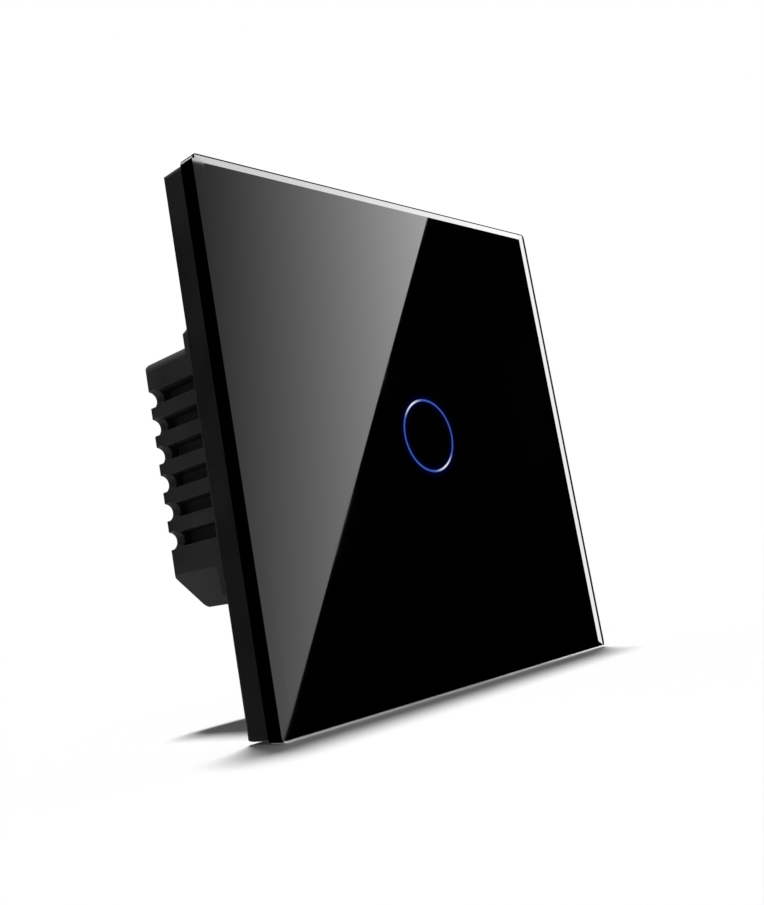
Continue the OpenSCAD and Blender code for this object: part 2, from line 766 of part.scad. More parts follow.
// Power board between the two housings, with slots for the busbars and pins
module power_board() color(board_green) along_y(power_board_y, power_board_back_y) difference() {
    base_outline(spigot_in_w);
    for (p = screw_spots) translate(p) circle(d = housing_screw_d + 2 * seat_gap);
    for (s = [-1, 1]) translate([s * terminal_x, leg_low_z + busbar_t / 2])
        square([busbar_leg_w + 2 * seat_gap, busbar_t + 2 * seat_gap], center = true);
    pin_row(pin_w + 2 * seat_gap);
}

// Relay: everything inside is placed about the core's axis
module relay_place() translate([relay_x, 0, relay_z]) children();

module relay_base() color("#2b2d31") relay_place() {
    w = relay_w / 2 - relay_skin - seat_gap;
    d = relay_d / 2 - relay_skin - seat_gap;
    block([-w, relay_y0, -d], [w, yoke_y, d]);
}

module relay_yoke() color(steel) relay_place() {
    block([-bobbin_d / 2, yoke_y, -yoke_d / 2], [yoke_x, coil_y, yoke_d / 2]);
    block([yoke_x - yoke_t, yoke_y, -yoke_d / 2], [yoke_x, yoke_top_y, yoke_d / 2]);
}

module relay_core() color("#8d9296") relay_place() {
    rod_y(core_d, coil_y, pole_y);
    rod_y(pole_d, pole_y - pole_t, pole_y);
}

module relay_bobbin() color("#e6e2d6") relay_place() difference() {
    union() {
        rod_y(bobbin_d, coil_y, coil_y + bobbin_wall);
        rod_y(core_d + 2 * bobbin_wall, coil_y, pole_y - pole_t);
        rod_y(bobbin_d, pole_y - pole_t - bobbin_wall, pole_y - pole_t);
    }
    rod_y(core_d + 2 * thread_gap, coil_y - eps, pole_y - pole_t + eps);
}

module relay_winding() color(copper) relay_place() difference() {
    rod_y(bobbin_d - 2 * winding_step, coil_y + bobbin_wall, pole_y - pole_t - bobbin_wall);
    rod_y(core_d + 2 * bobbin_wall + 2 * thread_gap, coil_y, pole_y);
}

module relay_fixed_contact() color(copper) relay_place() {
    translate([contact_x, 0, 0]) {
        block([-contact_d / 2, yoke_y, -contact_d], [contact_d / 2, fixed_contact_y - contact_h, contact_d]);
        rod_y(contact_d, fixed_contact_y - contact_h - eps, fixed_contact_y);
    }
}

module relay_armature() color("#8d9296") relay_place()
    block([-bobbin_d / 2, armature_y, -yoke_d / 2 + slide_gap], [yoke_x, blade_y, yoke_d / 2 - slide_gap]);

module relay_contact_spring() color(copper) relay_place() {
    block([contact_x - contact_d / 2, blade_y, -contact_d], [yoke_x / 2, blade_y + blade_t, contact_d]);
    rod_y(contact_d, moving_contact_y, blade_y + blade_t / 2, [contact_x, 0]);
}

module relay_cover() color("#30343c") relay_place() difference() {
    block([-relay_w / 2, relay_y0, -relay_d / 2], [relay_w / 2, relay_y0 + relay_h, relay_d / 2]);
    block([-relay_w / 2 + relay_skin, relay_y0 - eps, -relay_d / 2 + relay_skin],
          [relay_w / 2 - relay_skin, relay_y0 + relay_h - relay_skin, relay_d / 2 - relay_skin]);
}

// Other parts on the power board
module film_capacitor() color("#8a2f25") translate([film_at[0], 0, film_at[1]])
    along_y(power_board_back_y, power_board_back_y + film_t) round_rect(film_w, film_h, film_corner_r);

module filter_capacitor() color("#20262e") {
    neck_y = power_board_back_y + filter_neck_y;
    rod_y(filter_d, power_board_back_y, neck_y, filter_at);
    rod_y(filter_d - 2 * filter_neck_depth, power_board_back_y, neck_y + filter_neck_w + eps, filter_at);
    rod_y(filter_d, neck_y + filter_neck_w, power_board_back_y + filter_len, filter_at);
}

module varistor() color("#2e5f9e") translate([varistor_at[0], 0, varistor_at[1]]) {
    translate([0, power_board_back_y + varistor_lead + varistor_d / 2, -varistor_t / 2])
        cylinder(d = varistor_d, h = varistor_t);
    for (s = [-1, 1])
        rod_y(lead_d, power_board_back_y, power_board_back_y + varistor_lead + varistor_d / 2,
              [s * varistor_d / 4, 0]);
}

module fuse() color("#c8b189") translate([fuse_at[0], power_board_back_y + fuse_d / 2, fuse_at[1]]) {
    rotate([0, 90, 0]) cylinder(d = fuse_d, h = fuse_len, center = true);
    for (s = [-1, 1]) translate([s * (fuse_len / 2 - fuse_lead_in), 0, 0]) rod_y(lead_d, -fuse_d / 2, 0);
}

module bridge_rectifier() color("#1f2023") translate([rectifier_at[0], 0, rectifier_at[1]])
    block([-rectifier_w / 2, power_board_back_y, -rectifier_h / 2],
          [rectifier_w / 2, power_board_back_y + rectifier_t, rectifier_h / 2]);

module choke() color("#3a3a3e") {
    choke_end_y = power_board_back_y + choke_len;
    rod_y(choke_d, power_board_back_y, power_board_back_y + choke_rim, choke_at);
    rod_y(choke_d - 2 * choke_waist, power_board_back_y, choke_end_y, choke_at);
    rod_y(choke_d, choke_end_y - choke_rim, choke_end_y, choke_at);
}

module power_chip() color("#1f2023") translate([power_chip_at[0], 0, power_chip_at[1]])
    block([-power_chip_w / 2, power_board_y - power_chip_t, -power_chip_h / 2],
          [power_chip_w / 2, power_board_y, power_chip_h / 2]);

// Terminals: a fixed busbar, a clamp that rises along its screw, and the screw
module busbar() color(copper) {
    leg_top_z = leg_low_z + busbar_t;
    block([-busbar_w / 2, bar_front_y, terminal_z - clamp_len / 2], [busbar_w / 2, bar_back_y, leg_top_z]);
    block([-busbar_leg_w / 2, leg_front_y, leg_low_z], [busbar_leg_w / 2, bar_back_y, leg_top_z]);
}

module clamp() color("#b9bdc1") difference() {
    block([-clamp_w / 2, clamp_front_y, terminal_z - clamp_len / 2],
          [clamp_w / 2, nut_back_y, terminal_z + clamp_len / 2]);
    block([-clamp_w / 2 + clamp_wall, clamp_in_y, terminal_z - clamp_len / 2 - eps],
          [clamp_w / 2 - clamp_wall, nut_front_y, terminal_z + clamp_len / 2 + eps]);
    rod_y(terminal_screw_d + 2 * thread_gap, nut_front_y - eps, nut_back_y + eps, [0, terminal_z]);
}

module terminal_screw() color("#c4a24a") translate([0, 0, terminal_z]) difference() {
    union() {
        rod_y(terminal_screw_d, bar_back_y + tip_gap, head_back_y - terminal_head_h / 2);
        rod_y(terminal_head_d, head_front_y, head_back_y);
    }
    along_y(head_back_y - driver_slot_depth, head_back_y + eps)
        square([terminal_head_d + eps, driver_slot_w], center = true);
}

module live_busbar() translate([-terminal_x, 0, 0]) busbar();
module load_busbar() translate([terminal_x, 0, 0]) busbar();
module live_clamp() translate([-terminal_x, 0, 0]) clamp();
module load_clamp() translate([terminal_x, 0, 0]) clamp();
module live_screw() translate([-terminal_x, 0, 0]) terminal_screw();
module load_screw() translate([terminal_x, 0, 0]) terminal_screw();

glass_panel();
ring_window();
panel_adhesive();
panel_frame();
mounting_plate();
plate_screws();
touch_cover();
light_guide();
touch_pad();
indicator_leds();
touch_board();
touch_chip();
insulation_sheet();
board_socket();
board_header();
header_pins();
front_housing();
rear_housing();
housing_screws();
power_board();
relay_base();
relay_yoke();
relay_core();
relay_bobbin();
relay_winding();
relay_fixed_contact();
relay_armature();
relay_contact_spring();
relay_cover();
film_capacitor();
filter_capacitor();
varistor();
fuse();
bridge_rectifier();
choke();
power_chip();
live_busbar();
load_busbar();
live_clamp();
load_clamp();
live_screw();
load_screw();
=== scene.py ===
"""Looks of the touch light switch: studio, camera and a procedural material for every piece.

Metres, in the part's own frame: X runs right and Z up along the wall, Y runs into the wall.
"""
import json
import math
from functools import partial

import bpy
from mathutils import Matrix, Vector


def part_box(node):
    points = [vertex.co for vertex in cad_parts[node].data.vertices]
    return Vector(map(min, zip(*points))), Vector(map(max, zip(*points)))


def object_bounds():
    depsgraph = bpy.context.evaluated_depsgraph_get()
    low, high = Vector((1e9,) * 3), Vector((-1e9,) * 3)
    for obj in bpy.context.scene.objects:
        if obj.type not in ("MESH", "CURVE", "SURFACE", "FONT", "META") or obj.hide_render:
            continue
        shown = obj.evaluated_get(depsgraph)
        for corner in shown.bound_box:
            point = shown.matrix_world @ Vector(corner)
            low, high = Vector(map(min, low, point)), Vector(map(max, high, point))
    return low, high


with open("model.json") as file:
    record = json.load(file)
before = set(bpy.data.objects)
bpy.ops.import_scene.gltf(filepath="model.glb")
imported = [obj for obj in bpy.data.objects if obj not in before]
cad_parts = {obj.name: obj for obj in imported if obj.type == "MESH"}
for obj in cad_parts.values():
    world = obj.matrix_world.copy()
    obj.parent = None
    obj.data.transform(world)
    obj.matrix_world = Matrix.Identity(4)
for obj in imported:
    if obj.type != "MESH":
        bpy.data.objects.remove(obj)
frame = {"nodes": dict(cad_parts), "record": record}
cad_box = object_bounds()

MM = 0.001

# Levels and sizes of the solids. The ring's line and the facets' drop repeat the part's source
GLASS_LOW, GLASS_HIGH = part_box("glass_panel")
GLASS_FRONT_Y = GLASS_LOW.y
GLASS_HALF = GLASS_HIGH.x
RING_LINE = 0.3 * MM
RING_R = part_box("ring_window")[1].x - RING_LINE / 2
BEVEL_DROP = 0.1 * MM
FLOOR_Z = cad_box[0].z

# The photograph's camera: its place, its three axes and its focal length in pixels
IMAGE_H = 905
FOCAL_PX = 1021.17
SENSOR_MM = 36.0
CAMERA_CLIP = (0.01, 50.0)
CAMERA_BEFORE_GLASS = 0.10198
CAMERA_AT = Vector((-0.12675, GLASS_FRONT_Y - CAMERA_BEFORE_GLASS, -0.02337))
CAMERA_RIGHT = Vector((0.67139, -0.72134, -0.17003))
CAMERA_UP = Vector((0.01530, -0.21589, 0.97630))
CAMERA_AIM = Vector((0.74095, 0.65808, 0.13390))

# How nodes are set: a Mix node's two inputs and its output, the period of a wave at scale 1, and samples
MIX_SOCKETS = {"FLOAT": (2, 3, 0), "VECTOR": (4, 5, 1), "RGBA": (6, 7, 2)}
WAVE_PERIOD = 2 * math.pi / 20
EDGE_SAMPLES = 6
AIR_SAMPLES = 8

# How far an edge turns the normal, as a cosine, from on the edge to off it
EDGE_TURN = (0.8, 0.995)

# Detail of the noises, from smooth blobs to fine ones
SMOOTH = 1.0
PLAIN = 2.0
FINE = 3.0
FINEST = 4.0

# Stretches of a noise's values, and of a sum of two, that become the full range
MIDDLE = (0.35, 0.65)
BROAD = (0.3, 0.7)
SUM_BROAD = (0.7, 1.3)
SUM_HALF = (0.5, 1.5)


def shade(colour, factor):
    return tuple(min(1.0, channel * factor) for channel in colour)


class Graph:
    """The nodes of a material or a world, with one short call for each kind that is used here."""

    def __init__(self, owner):
        owner.use_nodes = True
        self.tree = owner.node_tree

    def add(self, kind, **settings):
        node = self.tree.nodes.new(kind)
        for key, value in settings.items():
            setattr(node, key, value)
        return node

    def feed(self, socket, value):
        """Links an output to a socket, or sets the socket's own value."""
        if isinstance(value, bpy.types.NodeSocket):
            self.tree.links.new(value, socket)
        elif socket.type == "RGBA":
            socket.default_value = (*value, 1.0)
        else:
            socket.default_value = value

    def math(self, operation, first, second=0.0):
        node = self.add("ShaderNodeMath", operation=operation)
        self.feed(node.inputs[0], first)
        self.feed(node.inputs[1], second)
        return node.outputs[0]

    def above(self, value, limit):
        return self.math("GREATER_THAN", value, limit)

    def below(self, value, limit):
        return self.math("LESS_THAN", value, limit)

    def both(self, *masks):
        """1 where every mask is 1."""
        product = masks[0]
        for mask in masks[1:]:
            product = self.math("MULTIPLY", product, mask)
        return product

    def either(self, *masks):
        """The largest of the masks."""
        largest = masks[0]
        for mask in masks[1:]:
            largest = self.math("MAXIMUM", largest, mask)
        return largest

    def spread(self, value, low, high, start=0.0, end=1.0):
        """Maps start..end of a value to low..high, and holds it there."""
        node = self.add("ShaderNodeMapRange", clamp=True)
        for socket, number in zip(node.inputs, (value, start, end, low, high)):
            self.feed(socket, number)
        return node.outputs[0]

    def mix(self, share, first, second, kind="RGBA"):
        """What lies between two colours, vectors or numbers, with a share of the second."""
        node = self.add("ShaderNodeMix", data_type=kind)
        first_at, second_at, result_at = MIX_SOCKETS[kind]
        self.feed(node.inputs[0], share)
        self.feed(node.inputs[first_at], first)
        self.feed(node.inputs[second_at], second)
        return node.outputs[result_at]


class Finish(Graph):
    """A material's nodes, with its shader and the patterns that follow the place on the part."""

    def __init__(self, name):
        self.material = bpy.data.materials.new(name)
        super().__init__(self.material)
        self.shader = self.tree.nodes["Principled BSDF"]
        self.surface = self.tree.nodes["Material Output"].inputs["Surface"]
        self.place = self.add("ShaderNodeTexCoord").outputs["Object"]

    def made(self, **values):
        """The material, with the shader's sockets set or linked. A _ stands for a space in their names."""
        for key, value in values.items():
            self.feed(self.shader.inputs[key.replace("_", " ")], value)
        return self.material

    def axis(self, letter):
        """The X, Y or Z of the place on the part, in metres."""
        parts = self.add("ShaderNodeSeparateXYZ")
        self.feed(parts.inputs[0], self.place)
        return parts.outputs[letter]

    def from_middle(self, letter, low, high):
        """How far the place lies from the middle of low and high along an axis."""
        return self.math("ABSOLUTE", self.math("SUBTRACT", self.axis(letter), (low + high) / 2))

    def geometry(self, output):
        return self.add("ShaderNodeNewGeometry").outputs[output]

    def texture(self, kind, scale, place=None, **settings):
        """A texture node at a scale, over the place on the part or over a place made from it."""
        node = self.add(kind, **settings)
        self.feed(node.inputs["Vector"], place or self.place)
        self.feed(node.inputs["Scale"], scale)
        return node

    def stretched(self, stretch):
        node = self.add("ShaderNodeMapping")
        self.feed(node.inputs["Vector"], self.place)
        self.feed(node.inputs["Scale"], stretch)
        return node.outputs[0]

    def noise(self, size, detail=PLAIN, stretch=None):
        """Cloudy values from 0 to 1, in blobs about size across."""
        place = self.stretched(stretch) if stretch else None
        node = self.texture("ShaderNodeTexNoise", 1 / size, place)
        self.feed(node.inputs["Detail"], detail)
        return node.outputs["Fac"]

    def cell_distance(self, size):
        """How far a place is from the middle of its cell, in cells about size across."""
        return self.texture("ShaderNodeTexVoronoi", 1 / size).outputs["Distance"]

    def cell_grey(self, size, metric="EUCLIDEAN"):
        """One grey for each cell, in cells about size across."""
        cells = self.texture("ShaderNodeTexVoronoi", 1 / size, distance=metric)
        grey = self.add("ShaderNodeRGBToBW")
        self.feed(grey.inputs[0], cells.outputs["Color"])
        return grey.outputs[0]

    def bands(self, size, axis):
        """Smooth bands across an axis, size apart."""
        node = self.texture("ShaderNodeTexWave", WAVE_PERIOD / size, wave_type="BANDS", bands_direction=axis)
        return node.outputs["Fac"]

    def tones(self, share, colour, low, high):
        """A colour between two shades of one colour."""
        return self.mix(share, shade(colour, low), shade(colour, high))

    def bump(self, height, depth, over=None):
        """Dents of about the given depth, in metres, over the surface or over another normal."""
        node = self.add("ShaderNodeBump")
        self.feed(node.inputs["Strength"], 1.0)
        self.feed(node.inputs["Distance"], depth)
        self.feed(node.inputs["Height"], height)
        if over:
            self.feed(node.inputs["Normal"], over)
        return node.outputs[0]

    def rounded(self, radius):
        """The normal with its edges rounded off."""
        node = self.add("ShaderNodeBevel", samples=EDGE_SAMPLES)
        self.feed(node.inputs["Radius"], radius)
        return node.outputs[0]

    def near_edge(self, rounded):
        """How close to an edge the place is, from 0 to 1, by how far a rounded normal has turned."""
        turned = self.add("ShaderNodeVectorMath", operation="DOT_PRODUCT")
        self.feed(turned.inputs[0], rounded)
        self.feed(turned.inputs[1], self.geometry("True Normal"))
        return self.spread(turned.outputs["Value"], 1.0, 0.0, *EDGE_TURN)

    def open_air(self, reach):
        """How open a place is to the air within a reach: 1 on a free face, less in a groove."""
        node = self.add("ShaderNodeAmbientOcclusion", samples=AIR_SAMPLES, only_local=True)
        self.feed(node.inputs["Distance"], reach)
        return node.outputs["AO"]


# Moulded plastic: mottling, grain, edges that are rubbed glossy and painted pale as a highlight, and recesses
# darkened by painted shade
MOTTLE_SIZE = 9 * MM
MOTTLE_TONES = (0.85, 1.15)
GRAIN_SIZE = 0.25 * MM
GRAIN_DEPTH = 0.012 * MM
PLASTIC_SPECULAR = 0.3
PLASTIC_SWING = 0.08
EDGE_ROUND = 0.25 * MM
EDGE_WEAR_AND_HIGHLIGHT = (0.3, 1.0)
EDGE_PAINTED_HIGHLIGHT = 1.8
EDGE_POLISH = 0.1
RECESS_REACH = 3.0 * MM
RECESS_OPEN = (0.3, 0.85)
RECESS_PAINTED_SHADE = 0.35


def moulded(slot, colour, rough, specular=PLASTIC_SPECULAR, grain=GRAIN_SIZE, depth=GRAIN_DEPTH):
    """Moulded plastic: a fine spark eroded grain, faint mottling, edges that handling has polished, painted
    paler as a highlight, and painted shade in recesses.
    """
    g = Finish(slot)
    fine = g.noise(grain, FINE)
    cloud = g.noise(MOTTLE_SIZE, FINE)
    rounded = g.rounded(EDGE_ROUND)
    # Edges: rubbed glossy by wear, and painted paler as a painted highlight
    wear_and_highlight = g.both(g.near_edge(rounded), g.spread(cloud, *EDGE_WEAR_AND_HIGHLIGHT, *MIDDLE))
    face = g.tones(g.spread(cloud, 0.0, 1.0, *MIDDLE), colour, *MOTTLE_TONES)
    # Recesses: painted shade, darker where the place is less open
    free = g.spread(g.open_air(RECESS_REACH), 0.0, 1.0, *RECESS_OPEN)
    face_with_recess_shade = g.mix(free, shade(colour, RECESS_PAINTED_SHADE), face)
    uneven = g.spread(g.math("ADD", fine, cloud), rough - PLASTIC_SWING, rough + PLASTIC_SWING, *SUM_BROAD)
    return g.made(Base_Color=g.mix(wear_and_highlight, face_with_recess_shade, shade(colour, EDGE_PAINTED_HIGHLIGHT)),
                  Roughness=g.math("SUBTRACT", uneven, g.math("MULTIPLY", wear_and_highlight, EDGE_POLISH)),
                  Specular_IOR_Level=specular,
                  Normal=g.bump(fine, depth, rounded))


# Plated metal: brushing and clouds
BRUSH_SIZE = 1.2 * MM
BRUSH_DEPTH = 0.0015 * MM
BRUSHED_FLAT = (1.0, 1.0, 14.0)
BRUSHED_DEEP = (8.0, 1.0, 8.0)
PLATING_CLOUD = 5 * MM
PLATING_TONES = (0.86, 1.06)
PLATING_SMOOTHER = 0.08
PLATING_ROUGHER = 0.12


def plated(slot, colour, rough, along=BRUSHED_FLAT):
    """Plated metal with faint brushing and cloudy gloss."""
    g = Finish(slot)
    brush = g.noise(BRUSH_SIZE, FINE, along)
    cloud = g.noise(PLATING_CLOUD)
    wear = g.math("ADD", brush, cloud)
    return g.made(Base_Color=g.tones(g.spread(cloud, 0.0, 1.0, *BROAD), colour, *PLATING_TONES),
                  Metallic=1.0,
                  Roughness=g.spread(wear, rough - PLATING_SMOOTHER, rough + PLATING_ROUGHER, *SUM_BROAD),
                  Normal=g.bump(brush, BRUSH_DEPTH))


# Dipped resin: waves and specks
DIP_WAVE = 2.5 * MM
DIP_DEPTH = 0.12 * MM
DIP_SPECK = 0.3 * MM
DIP_TONES = (0.9, 1.1)
DIP_ROUGH = (0.19, 0.33)


def resin(slot, colour):
    """Dipped resin: glossy, with soft waves left by the dipping."""
    g = Finish(slot)
    wave = g.noise(DIP_WAVE, SMOOTH)
    speck = g.noise(DIP_SPECK)
    return g.made(Base_Color=g.tones(g.spread(speck, 0.0, 1.0, *MIDDLE), colour, *DIP_TONES),
                  Roughness=g.spread(wave, *DIP_ROUGH, *BROAD),
                  Normal=g.bump(wave, DIP_DEPTH))


# Foam: pores painted darker as painted shade, with their depth as a share of their size
PORE_RANGE = (0.2, 0.7)
PORE_PAINTED_SHADE = (0.6, 1.2)
PORE_DEPTH = 0.3
FOAM_ROUGH = (0.95, 0.8)
FOAM_SPECULAR = 0.2


def foam(slot, colour, pore):
    """Closed cell foam with open pores on its skin, painted darker inside as painted shade."""
    g = Finish(slot)
    hole = g.cell_distance(pore)
    # The pores' pits are painted darker: painted shade
    return g.made(Base_Color=g.tones(g.spread(hole, 0.0, 1.0, *PORE_RANGE), colour, *PORE_PAINTED_SHADE),
                  Roughness=g.spread(hole, *FOAM_ROUGH),
                  Specular_IOR_Level=FOAM_SPECULAR,
                  Normal=g.bump(hole, pore * PORE_DEPTH))


# The lit ring: blue, with a white stretch at each of two angles as a painted highlight, and a soft halo in
# the glass
RING_BLUE = (0.046, 0.085, 0.34)
RING_WHITE = (0.62, 0.63, 0.70)
RING_WHITE_ANGLES = (math.radians(122), math.radians(-60))
RING_WHITE_REACH = (math.radians(4), math.radians(32))
RING_WHITE_FALL = 2.0
RING_BODY = ((0.02, 0.04, 0.12), (0.3, 0.32, 0.4))
RING_CLOUD = 1.6 * MM
RING_LEVELS = (0.85, 1.15)
RING_ROUGH = 0.05
HALO_BLUE = (0.0, 0.012, 0.22)
HALO_FADE = 0.28 * MM
HALO_STRENGTH = 0.42

# The glass: polished black with smears
GLASS_IOR = 1.5
GLASS_BLACK = ((0.0003, 0.0003, 0.0004), (0.0012, 0.0012, 0.0014))
GLASS_ROUGH = (0.012, 0.05)
SMEAR_SIZE = 22 * MM
SMEAR_ALONG = (1.0, 1.0, 0.6)
SMEAR_RANGE = (0.45, 0.75)
STREAK_SIZE = 0.8 * MM
STREAK_RANGE = (0.6, 1.0)

# The glass's outermost edges: a painted dark line at the top and right, and painted pale highlights along the
# bottom and on the upper corners
DARK_LINE_RIGHT = 0.70 * MM
DARK_LINE_TOP = 0.22 * MM
DARK_LINE_CORNER = 0.52 * MM
DARK_LINE_TIP = 0.45 * MM
DARK_LINE_COLOUR = (0.0015, 0.0015, 0.0017)
GLASS_CORNER = 0.80 * MM
PALE_LINE_HEIGHT = 0.28 * MM
PALE_LINE_ROUND = 0.50 * MM
PALE_MARK_ROUGH = 0.3
PALE_MARK_COLOUR = (0.80, 0.80, 0.81)


def glass_edges(g):
    """Masks of the glass's edges: the painted dark line, the painted pale highlights, and the painted pale
    line along the bottom alone.
    """
    x, y, z = (g.axis(letter) for letter in "XYZ")
    facet_end = GLASS_FRONT_Y + BEVEL_DROP
    on_facet = g.below(y, facet_end)
    at_top = g.above(z, GLASS_HALF - GLASS_CORNER)
    at_side = g.above(g.math("ABSOLUTE", x), GLASS_HALF - GLASS_CORNER)
    corner = g.both(at_side, at_top, g.above(y, facet_end))
    corner_rim = g.both(corner, g.above(z, GLASS_HALF - DARK_LINE_CORNER))
    tip = g.both(at_top, g.below(x, DARK_LINE_TIP - GLASS_HALF))
    right = g.above(x, GLASS_HALF - DARK_LINE_RIGHT)
    top = g.above(z, GLASS_HALF - DARK_LINE_TOP)
    # Painted dark line along the top and right, the top left tip and the upper corners' rims
    dark = g.either(g.both(g.either(right, top, tip), on_facet), corner_rim)
    # Painted highlights: a pale line along the bottom and pale glints on the upper corners
    pale_low_line = g.both(g.below(z, PALE_LINE_HEIGHT - GLASS_HALF), on_facet)
    painted_pale = g.either(pale_low_line, g.math("SUBTRACT", corner, corner_rim))
    return dark, painted_pale, pale_low_line


def ring_halo(g):
    """The light in the front of the glass, which fades away on both sides of the lit ring."""
    x, y, z = (g.axis(letter) for letter in "XYZ")
    radius = g.math("SQRT", g.math("ADD", g.math("MULTIPLY", x, x), g.math("MULTIPLY", z, z)))
    away = g.math("ABSOLUTE", g.math("SUBTRACT", radius, RING_R))
    halo = g.math("EXPONENT", g.math("MULTIPLY", away, -1 / HALO_FADE))
    on_front = g.below(y, GLASS_FRONT_Y + BEVEL_DROP / 2)
    return g.math("MULTIPLY", g.both(halo, on_front), HALO_STRENGTH)


def black_glass(slot):
    """Black backed glass: polished, with faint smears, a painted dark line and painted pale highlights on its
    outer edge, and a halo round the lit ring.
    """
    g = Finish(slot)
    smear = g.noise(SMEAR_SIZE, FINEST, SMEAR_ALONG)
    streak = g.noise(STREAK_SIZE, FINE)
    dark, painted_pale, pale_low_line = glass_edges(g)
    polished = g.mix(smear, *GLASS_BLACK)
    polish = g.both(g.spread(smear, 0.0, 1.0, *SMEAR_RANGE), g.spread(streak, *STREAK_RANGE))
    matt = g.either(dark, g.math("MULTIPLY", painted_pale, PALE_MARK_ROUGH))
    # Base colour: the painted dark line and the painted pale highlights over the polished black
    return g.made(Base_Color=g.mix(painted_pale, g.mix(dark, polished, DARK_LINE_COLOUR), PALE_MARK_COLOUR),
                  Roughness=g.either(g.spread(polish, *GLASS_ROUGH), matt),
                  Metallic=g.either(dark, painted_pale),
                  Normal=g.mix(pale_low_line, g.geometry("Normal"), g.rounded(PALE_LINE_ROUND), "VECTOR"),
                  IOR=GLASS_IOR,
                  Emission_Color=HALO_BLUE,
                  Emission_Strength=ring_halo(g))


def near_highlight_angles(g, narrow, wide):
    """How near a place round the ring is to one of the two painted highlights: 1 within narrow, 0 outside
    wide.
    """
    turn = g.math("ARCTAN2", g.axis("Z"), g.axis("X"))
    near = [g.math("COSINE", g.math("SUBTRACT", turn, angle)) for angle in RING_WHITE_ANGLES]
    return g.spread(g.either(*near), 0.0, 1.0, math.cos(wide), math.cos(narrow))


def lit_ring(slot):
    """Translucent ring lit from behind, with painted highlights that make it brighter and whiter at two
    angles.
    """
    g = Finish(slot)
    # White stretches at two angles: painted highlights in the ring's colour and light
    hot = g.math("POWER", near_highlight_angles(g, *RING_WHITE_REACH), RING_WHITE_FALL)
    return g.made(Base_Color=g.mix(hot, *RING_BODY),
                  Emission_Color=g.mix(hot, RING_BLUE, RING_WHITE),
                  Emission_Strength=g.spread(g.noise(RING_CLOUD, SMOOTH), *RING_LEVELS),
                  Roughness=RING_ROUGH)


# Galvanised sheet: crystals and a rolled grain
ZINC = ((0.56, 0.57, 0.58), (0.64, 0.65, 0.66))
ZINC_CRYSTAL = 1.8 * MM
ZINC_ROUGH = (0.40, 0.52)
ROLLED_SIZE = 0.5 * MM
ROLLED_ALONG = (1.0, 1.0, 12.0)
ROLLED_DEPTH = 0.008 * MM


def galvanised(slot):
    """Galvanised sheet: a spangle of crystals over a fine rolled grain."""
    g = Finish(slot)
    crystal = g.cell_grey(ZINC_CRYSTAL)
    rolled = g.noise(ROLLED_SIZE, FINE, ROLLED_ALONG)
    return g.made(Base_Color=g.mix(crystal, *ZINC),
                  Metallic=1.0,
                  Roughness=g.spread(g.math("ADD", crystal, rolled), *ZINC_ROUGH, *SUM_HALF),
                  Normal=g.bump(rolled, ROLLED_DEPTH))


# The light guide and the lamps behind it: their clear bodies and their light
GUIDE_MILK = ((0.72, 0.76, 0.82), (0.84, 0.87, 0.90))
GUIDE_LIGHT = ((0.05, 0.16, 0.75), (0.7, 0.8, 1.0))
GUIDE_REACH = (math.radians(5), math.radians(50))
GUIDE_STRENGTH = 0.35
GUIDE_CLOUD = 2 * MM
GUIDE_ROUGH = (0.25, 0.4)
LAMP_CLEAR = ((0.70, 0.76, 0.86), (0.85, 0.88, 0.95))
LAMP_LIGHT = ((0.1, 0.25, 1.0), (0.8, 0.88, 1.0))
LAMP_STRENGTH = 0.8
LAMP_CLOUD = 0.4 * MM
LAMP_ROUGH = 0.2


def milky_guide(slot):
    """Milky clear plastic that carries the lamps' blue light."""
    g = Finish(slot)
    cloud = g.noise(GUIDE_CLOUD)
    return g.made(Base_Color=g.mix(cloud, *GUIDE_MILK),
                  Roughness=g.spread(cloud, *GUIDE_ROUGH),
                  Emission_Color=g.mix(near_highlight_angles(g, *GUIDE_REACH), *GUIDE_LIGHT),
                  Emission_Strength=GUIDE_STRENGTH)


def lamp_resin(slot):
    """Clear resin of a lit lamp, cloudy from blue to white."""
    g = Finish(slot)
    cloud = g.noise(LAMP_CLOUD, SMOOTH)
    return g.made(Base_Color=g.mix(cloud, *LAMP_CLEAR),
                  Emission_Color=g.mix(cloud, *LAMP_LIGHT),
                  Emission_Strength=LAMP_STRENGTH,
                  Roughness=LAMP_ROUGH)


# Circuit boards: patches of tracks that run one way or the other, and pads as a share of their cells
LACQUER = ((0.012, 0.075, 0.028), (0.024, 0.135, 0.050))
LACQUER_CLOUD = 3 * MM
LACQUER_ROUGH = (0.22, 0.36)
TRACK_PITCH = 1.1 * MM
TRACK_FROM = 0.55
TRACK_DEPTH = 0.03 * MM
PATCH_SIZE = 7 * MM
PATCH_TURNS = 0.5
PAD_TIN = (0.62, 0.62, 0.60)
PAD_APART = 4.2 * MM
PAD_SHARE = 0.12


def solder_mask(slot):
    """Green board: tracks under the lacquer in two directions, and tinned pads."""
    g = Finish(slot)
    sideways = g.above(g.cell_grey(PATCH_SIZE, "CHEBYCHEV"), PATCH_TURNS)
    across, upward = (g.above(g.bands(TRACK_PITCH, axis), TRACK_FROM) for axis in "XZ")
    track = g.mix(sideways, across, upward, "FLOAT")
    pad = g.below(g.cell_distance(PAD_APART), PAD_SHARE)
    return g.made(Base_Color=g.mix(pad, g.mix(track, *LACQUER), PAD_TIN),
                  Metallic=pad,
                  Roughness=g.spread(g.noise(LACQUER_CLOUD), *LACQUER_ROUGH),
                  Normal=g.bump(track, TRACK_DEPTH))


# Insulating film
AMBER = ((0.50, 0.36, 0.18), (0.68, 0.54, 0.32))
AMBER_ROUGH = (0.3, 0.5)
FIBRE_SIZE = 0.5 * MM
FIBRE_ALONG = (1.0, 1.0, 9.0)
FIBRE_DEPTH = 0.01 * MM


